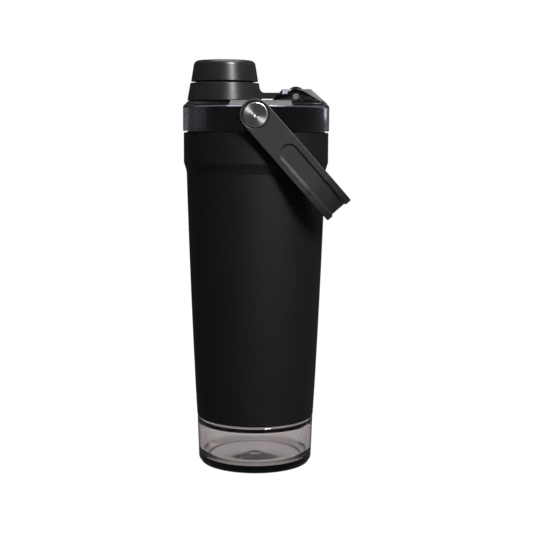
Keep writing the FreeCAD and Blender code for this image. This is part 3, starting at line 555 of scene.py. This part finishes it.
# ---------------------------------------------------------------- carry handle
REACH, SPAN, CORNER = 74.2, 48.6, 26.0
INNER_REACH, INNER_SPAN, INNER_CORNER = 71.6, 44.9, 23.4
HANDLE_DROP = 48.3


def loop_run(reach, span, corner, start, steps=36):
    """One line of the handle's U, from the front arm round the crossbar to the back arm."""
    points = [(start, -span)]
    for centre_y, first in ((-span + corner, -math.pi / 2), (span - corner, 0.0)):
        for step in range(steps + 1):
            angle = first + math.pi / 2 * step / steps
            points.append((reach - corner + corner * math.cos(angle), centre_y + corner * math.sin(angle)))
    points.append((start, span))
    return points


def skinned(name, rings):
    """Joins a row of four-cornered rings into one closed body."""
    bm = bmesh.new()
    rows = [[bm.verts.new(point) for point in ring] for ring in rings]
    for row, other in zip(rows, rows[1:]):
        for side in range(4):
            ahead = (side + 1) % 4
            bm.faces.new((row[side], row[ahead], other[ahead], other[side]))
    bm.faces.new(rows[0])
    bm.faces.new(rows[-1])
    return object_from(bm, name)


def channel_tool(start, depth, lip_half, floor_half, over=0.3):
    """The drafted channel: a stadium that runs round the loop, narrower at its floor."""
    grow = over * (lip_half - floor_half) / depth
    lip_half += grow
    rise = loop_run(REACH + over, SPAN + over, CORNER + over, start)
    sink = loop_run(REACH - depth, SPAN - depth, CORNER - depth, start)
    rings = []
    turns = [math.radians(angle) for angle in (89, 80, 70, 60, 50, 40, 30, 20, 10)]
    for side, sweep in ((-1, turns), (1, turns[::-1])):
        if side > 0:
            rings += [[(*high, -lip_half), (*high, lip_half), (*deep, floor_half), (*deep, -floor_half)]
                      for high, deep in zip(rise, sink)]
        for turn in sweep:
            high, low = lip_half * math.cos(turn), floor_half * math.cos(turn)
            high_x, low_x = start - lip_half * math.sin(turn), start - floor_half * math.sin(turn)
            outer, inner = side * (SPAN + over), side * (SPAN - depth)
            rings.append([(high_x, outer, -high), (high_x, outer, high),
                          (low_x, inner, low), (low_x, inner, -low)])
    return skinned("channel", rings)


def make_handle():
    """Loop with a drafted channel round its outer face, a counterbore and a round end on each arm."""
    end_r, width, chamfer = 8.9, 9.05, 1.5
    outer = loop_run(REACH, SPAN, CORNER, -12.0)
    inner = loop_run(INNER_REACH, INNER_SPAN, INNER_CORNER, -12.0)
    blank = 13                # half width of the blank that the side outline is cut from
    band = skinned("handle", [[(*far, -blank), (*far, blank), (*near, blank), (*near, -blank)]
                              for far, near in zip(outer, inner)])
    side = [(REACH + 2, -width), (REACH + 2, width), (0, end_r)]
    facets = 48
    side += [(-end_r * math.sin(math.pi * step / facets), end_r * math.cos(math.pi * step / facets))
             for step in range(1, facets)]
    side.append((0, -end_r))
    combine(band, slab("side", side, -SPAN - 2, SPAN + 2), "INTERSECT")
    straight = INNER_SPAN - INNER_CORNER
    for sign in (-1, 1):
        wedge = [(INNER_REACH - 1, sign * (width - chamfer - 1)),
                 (INNER_REACH + chamfer + 1, sign * (width + 1)),
                 (INNER_REACH - 1, sign * (width + 1))]
        combine(band, slab("wedge", wedge, -straight, straight), "DIFFERENCE")
    combine(band, channel_tool(28.8, 1.0, 5.3, 4.7), "DIFFERENCE")
    for sign in (-1, 1):
        seat = slab("seat", disc_outline(0, 0, 7.8, 96), sign * (SPAN - 1.5), sign * (SPAN + 1))
        combine(band, seat, "DIFFERENCE")
    combine(band, slab("pivot", disc_outline(0, 0, 4.05), -SPAN - 2, SPAN + 2), "DIFFERENCE")
    softened(band, 0.42, 30, 3, clamp=False)
    drop = Matrix.Rotation(math.radians(HANDLE_DROP), 4, "Y")
    band.data.transform(Matrix.Translation((0, 0, PIVOT_Z)) @ drop)
    return finish_piece(band, "carry_handle", "handle_plastic", HANDLE_PLASTIC, "carry_handle", angle=None)


def make_screw(side, name):
    """Shoulder screw with a turned face, a shallow dish and a centre dimple."""
    face = abs(screw_high.y) if side > 0 else abs(limits("handle_screw_front")[0].y)
    end = 33.0
    outline = rounded([
        (0, face - 0.95), (0.55, face - 0.75, 0.2), (1.35, face - 0.12, 0.25), (1.9, face - 0.06),
        (6.6, face, 0.3),
        (7.25, face - 0.35, 0.3), (7.25, face - 1.6, 0.15), (4.0, face - 1.6), (4.0, 44.1, 0.1), (2.0, 44.1),
        (2.0, end, 0.4), (0, end)], 5)
    screw = lathe(name, outline, facets=128)
    screw.data.transform(Matrix.Translation((0, 0, PIVOT_Z)) @ Matrix.Rotation(-math.pi / 2 * side, 4, "X"))
    node = "handle_screw_back" if side > 0 else "handle_screw_front"
    return finish_piece(screw, "lid", "steel_turned", TURNED_STEEL, node, angle=30)


make_flask_shell()
make_base_adapter()
make_cup()
make_lid_cover()
make_cap()
make_tether()
make_handle()
make_screw(-1, "pivot_screw_front")
make_screw(1, "pivot_screw_back")

# ---------------------------------------------------------------- CAD nodes that stay, with their materials
for node, material in {
        "storage_seal": SILICONE, "lid_gasket": SILICONE, "cap_seal": SILICONE, "inner_flask": LINER_STEEL,
        "outer_bottom": LINER_STEEL, "getter": LINER_STEEL, "whisk_ball": WIRE_STEEL,
        "lid_core": CORE_PLASTIC,
        "spout": BLACK_PLASTIC, "hinge_pin": PIN_STEEL, "cap_insert": BLACK_PLASTIC,
        "handle_washer_front": BLACK_PLASTIC, "handle_washer_back": BLACK_PLASTIC,
        "threaded_insert_front": BRASS, "threaded_insert_back": BRASS}.items():
    kept = frame["nodes"][node]
    kept.data.materials.clear()
    kept.data.materials.append(material)


# ---------------------------------------------------------------- studio
DIM = 0.06            # how bright the white surroundings are to a surface that reflects them


def seen_directly(tree):
    """One for rays from the camera and rays through clear plastic, else zero."""
    path = tree.nodes.new("ShaderNodeLightPath")
    seen = tree.nodes.new("ShaderNodeMath")
    seen.operation = "MAXIMUM"
    tree.links.new(path.outputs["Is Camera Ray"], seen.inputs[0])
    tree.links.new(path.outputs["Is Transmission Ray"], seen.inputs[1])
    return seen.outputs["Value"]


def add_floor():
    """A plain white floor, wide enough for the view but ending short of the camera."""
    bm = bmesh.new()
    corners = [(-3.0, -0.5, 0), (3.0, -0.5, 0), (3.0, 4.0, 0), (-3.0, 4.0, 0)]
    bm.faces.new([bm.verts.new(corner) for corner in corners])
    floor = object_from(bm, "floor")
    nodes = Nodes("floor_white")
    nodes.colour(nodes.ramp(nodes.noise(3, 2.0), (0.0, (0.03, 0.03, 0.03)), (1.0, (0.04, 0.04, 0.04))))
    nodes.set(Roughness=0.9, Specular_IOR_Level=0.0, Emission_Color=(1, 1, 1, 1))
    nodes.link(nodes.span(seen_directly(nodes.tree), DIM, 1.0), nodes.shader.inputs["Emission Strength"])
    floor.data.materials.append(nodes.material)


def add_area(name, place, target, width, height, watts, shade=(1, 1, 1)):
    light = bpy.data.lights.new(name, "AREA")
    light.shape = "RECTANGLE"
    light.size = width
    light.size_y = height
    light.energy = watts
    light.color = shade
    lamp = bpy.data.objects.new(name, light)
    lamp.location = place
    lamp.rotation_euler = (Vector(target) - Vector(place)).to_track_quat("-Z", "Y").to_euler()
    bpy.context.scene.collection.objects.link(lamp)
    return lamp


def add_world():
    """White where the camera looks or sees through clear plastic, dim where surfaces reflect it."""
    world = bpy.data.worlds.new("studio")
    world.use_nodes = True
    tree = world.node_tree
    tree.nodes.clear()
    output = tree.nodes.new("ShaderNodeOutputWorld")
    mix = tree.nodes.new("ShaderNodeMixShader")
    shades = []
    for strength in (DIM, 1.0):
        background = tree.nodes.new("ShaderNodeBackground")
        background.inputs["Color"].default_value = (1, 1, 1, 1)
        background.inputs["Strength"].default_value = strength
        shades.append(background)
    tree.links.new(seen_directly(tree), mix.inputs["Fac"])
    tree.links.new(shades[0].outputs["Background"], mix.inputs[1])
    tree.links.new(shades[1].outputs["Background"], mix.inputs[2])
    tree.links.new(mix.outputs["Shader"], output.inputs["Surface"])
    bpy.context.scene.world = world


def add_camera():
    """Slightly above the bottle's middle, tilted down a little, as a product shot is framed."""
    pitch, roll = 6.69, 0.28
    camera = bpy.data.cameras.new("camera")
    camera.lens = 79.7
    camera.sensor_width = 36.0
    camera.clip_start = 0.01
    rig = bpy.data.objects.new("camera", camera)
    look = Matrix.Rotation(math.radians(90 - pitch), 4, "X") @ Matrix.Rotation(math.radians(roll), 4, "Z")
    rig.matrix_world = Matrix.Translation((0.00667, -0.717, 0.2045)) @ look
    bpy.context.scene.collection.objects.link(rig)
    bpy.context.scene.camera = rig


add_floor()
add_world()
add_camera()
add_area("overhead", (0.04, 0.06, 0.85), (0.04, 0.0, 0.2), 0.58, 0.42, 3)
add_area("key_right", (0.35, -0.65, 0.76), (-0.01, 0, 0.2), 0.14, 0.36, 12)
fill = add_area("fill_left", (-1.08, 0.19, 0.45), (0, 0, 0.12), 0.63, 0.7, 2.5)
rim = add_area("rim_right", (0.6, 0.82, 0.5), (0, 0, 0.12), 0.3, 0.6, 3)
for lamp in (fill, rim):
    lamp.visible_glossy = False  # the glossy lid would mirror them as hard strips
bpy.context.scene.view_settings.view_transform = "Standard"
